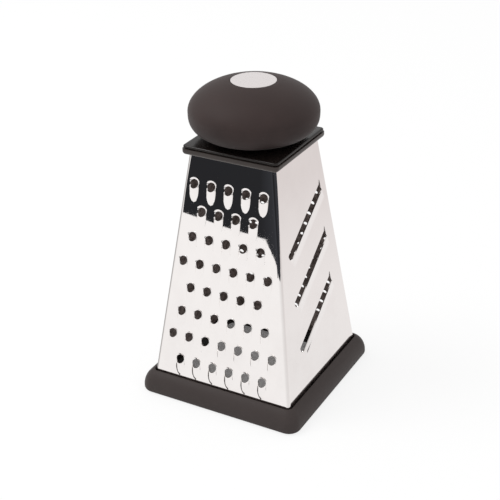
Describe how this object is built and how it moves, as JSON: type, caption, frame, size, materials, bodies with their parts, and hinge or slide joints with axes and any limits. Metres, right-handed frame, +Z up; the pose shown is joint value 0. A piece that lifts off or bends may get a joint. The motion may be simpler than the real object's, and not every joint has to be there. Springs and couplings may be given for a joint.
{
  "type": "box grater",
  "caption": "Four-sided pyramid box grater with a round soft-touch knob handle, a slicing side, coarse and fine grating sides, a zesting side and a non-slip foot ring.",
  "frame": {"origin": "centre of the foot ring's underside, on the surface it stands on", "axes": "+Z up through the handle; the coarse side faces -Y, the slicing side +X, the fine side +Y and the zesting side -X"},
  "size_m": [0.1166, 0.1166, 0.2107],
  "materials": {
    "polished_steel": "mirror-polished stainless steel sheet",
    "soft_black": "soft-touch matte elastomer",
    "collar_black": "satin moulded plastic",
    "plate_black": "polished moulded plastic",
    "core_plastic": "as moulded",
    "disc_steel": "fine brushed stainless steel",
    "pad_foam": "adhesive foam",
    "fastener_steel": "plain stainless steel"
  },
  "bodies": {
    "root": {"coarse_panel": "polished_steel", "slicing_panel": "polished_steel", "fine_panel": "polished_steel", "zest_panel": "polished_steel", "foot_ring": "soft_black", "base_frame": "core_plastic", "collar_frame": "collar_black", "top_plate": "plate_black", "knob_grip": "soft_black", "knob_core_upper": "core_plastic", "knob_core_lower": "core_plastic", "top_disc": "disc_steel", "disc_pad": "pad_foam", "handle_screw": "fastener_steel", "screw_washer": "fastener_steel", "clamp_plug": "core_plastic", "plug_washer": "fastener_steel", "handle_nut": "fastener_steel"}
  },
  "joints": []
}
